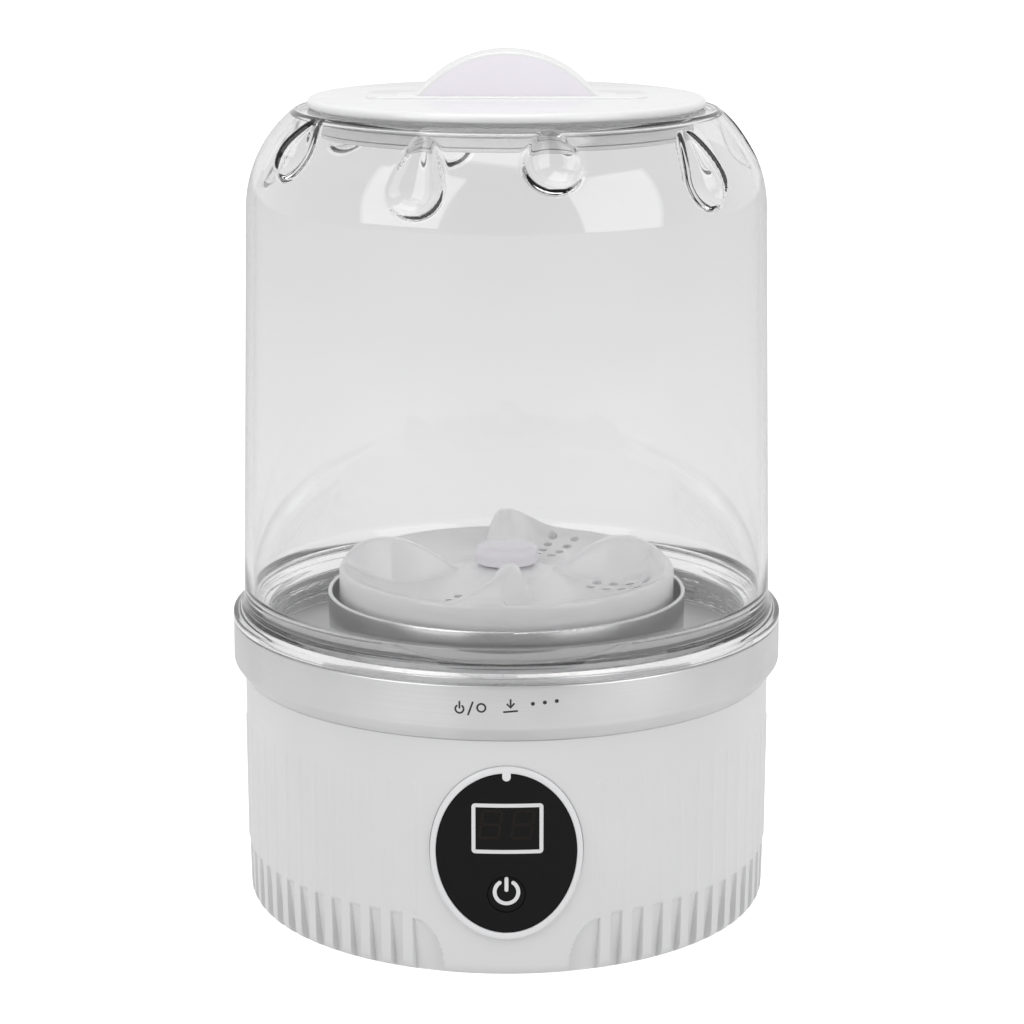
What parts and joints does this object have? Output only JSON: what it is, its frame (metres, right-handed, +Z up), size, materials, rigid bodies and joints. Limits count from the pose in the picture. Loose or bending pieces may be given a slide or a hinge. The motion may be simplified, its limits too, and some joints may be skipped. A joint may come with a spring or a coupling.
{
  "type": "portable mini washer",
  "caption": "Small upright washing machine: round motor base with an oval control panel, clear screw-on tub with a dented shoulder, lift-off lid and a vaned impeller.",
  "frame": {"origin": "centre of the base, on the surface that the four feet rest on", "axes": "+Z up along the tub's axis; the control panel faces -Y; +X is to the right seen from the front"},
  "size_m": [0.1502, 0.1502, 0.2328],
  "materials": {
    "white_shell": "moulded, fine satin gloss",
    "white_impeller": "moulded, glossy, faintly cool white",
    "white_lid": "moulded, glossy",
    "lilac_inset": "pale lilac, glossy",
    "lilac_cap": "faintly lilac white, glossy",
    "silver_trim": "silver lacquer, fine satin",
    "silver_tray": "silver grey, satin",
    "steel_ring": "brushed round its axis",
    "pale_bezel": "moulded, glossy",
    "black_panel": "black, high gloss",
    "clear_tub": "clear, polished",
    "clear_silicone": "translucent, soft",
    "foot_rubber": "matt grey",
    "seal_rubber": "matt black",
    "plated_metal": "plated",
    "screw_steel": "zinc plated",
    "shaft_steel": "ground",
    "laminated_steel": "stacked sheet, varnished",
    "magnet": "sintered, dull",
    "bronze": "sintered bronze, oiled",
    "brass": "turned",
    "copper": "turned copper",
    "gearbox_plastic": "moulded, matt",
    "gear_plastic": "natural acetal",
    "dark_plastic": "moulded, matt",
    "circuit_board": "green solder mask"
  },
  "bodies": {
    "base": {"base_shell": "white_shell", "bottom_cover": "white_shell", "rubber_feet": "foot_rubber", "trim_ring": "silver_trim", "drum_tray": "silver_tray", "impeller_shroud": "steel_ring", "panel_bezel": "pale_bezel", "panel_lens": "black_panel", "power_inlet": "plated_metal", "shaft_seal": "seal_rubber", "upper_bush": "bronze", "gearbox_case": "gearbox_plastic", "gearbox_cover": "gearbox_plastic", "gearbox_screws": "screw_steel", "output_bush": "bronze", "gear_pin": "shaft_steel", "motor_screws": "screw_steel", "motor_can": "plated_metal", "motor_end_cap": "dark_plastic", "motor_terminals": "brass", "motor_bearings": "bronze", "motor_magnets": "magnet", "control_pcb": "circuit_board", "display_module": "dark_plastic", "tact_switch": "dark_plastic", "main_chip": "dark_plastic", "inlet_board": "circuit_board", "cover_screws": "screw_steel", "tray_screws": "screw_steel"},
    "impeller": {"impeller_disc": "white_impeller", "impeller_cap": "lilac_cap", "impeller_screw": "screw_steel", "output_shaft": "shaft_steel", "output_gear": "gear_plastic"},
    "idler": {"idler_gear": "gear_plastic"},
    "motor_rotor": {"rotor_shaft": "shaft_steel", "rotor_core": "laminated_steel", "commutator": "copper", "motor_pinion": "brass"},
    "button": {"power_button": "black_panel"},
    "tub_seal": {"tub_seal": "clear_silicone"},
    "tub": {"tub": "clear_tub"},
    "lid": {"lid_cap": "white_lid", "grip_insets": "lilac_inset", "lid_seal": "clear_silicone"}
  },
  "joints": [
    {"name": "impeller_spin", "type": "hinge", "parent": "base", "child": "impeller", "pos_m": [0, 0, 0.09], "axis": [0, 0, 1], "continuous": true},
    {"name": "idler_spin", "type": "hinge", "parent": "base", "child": "idler", "pos_m": [0.0208, 0, 0.05], "axis": [0, 0, 1], "continuous": true},
    {"name": "motor_spin", "type": "hinge", "parent": "base", "child": "motor_rotor", "pos_m": [0, 0, 0.03], "axis": [0, 0, 1], "continuous": true},
    {"name": "button_press", "type": "slide", "parent": "base", "child": "button", "axis": [0, 1, 0], "range_m": [0, 0.0005], "stiffness_N_per_m": 1500, "springref_m": -0.0002},
    {"name": "tub_turn", "type": "hinge", "parent": "base", "child": "tub_seal", "pos_m": [0, 0, 0.0795], "axis": [0, 0, 1], "range_deg": [0, 270]},
    {"name": "tub_rise", "type": "slide", "parent": "tub_seal", "child": "tub", "axis": [0, 0, 1], "range_m": [0, 0.01021]},
    {"name": "lid_lift", "type": "slide", "parent": "tub", "child": "lid", "axis": [0, 0, 1], "range_m": [0, 0.05]}
  ],
  "couplings": [
    {"joint": "idler_spin", "follows": "impeller_spin", "ratio": -3.3333},
    {"joint": "motor_spin", "follows": "impeller_spin", "ratio": 11.111},
    {"joint": "tub_rise", "follows": "tub_turn", "m_per_rad": 0.0021645}
  ]
}
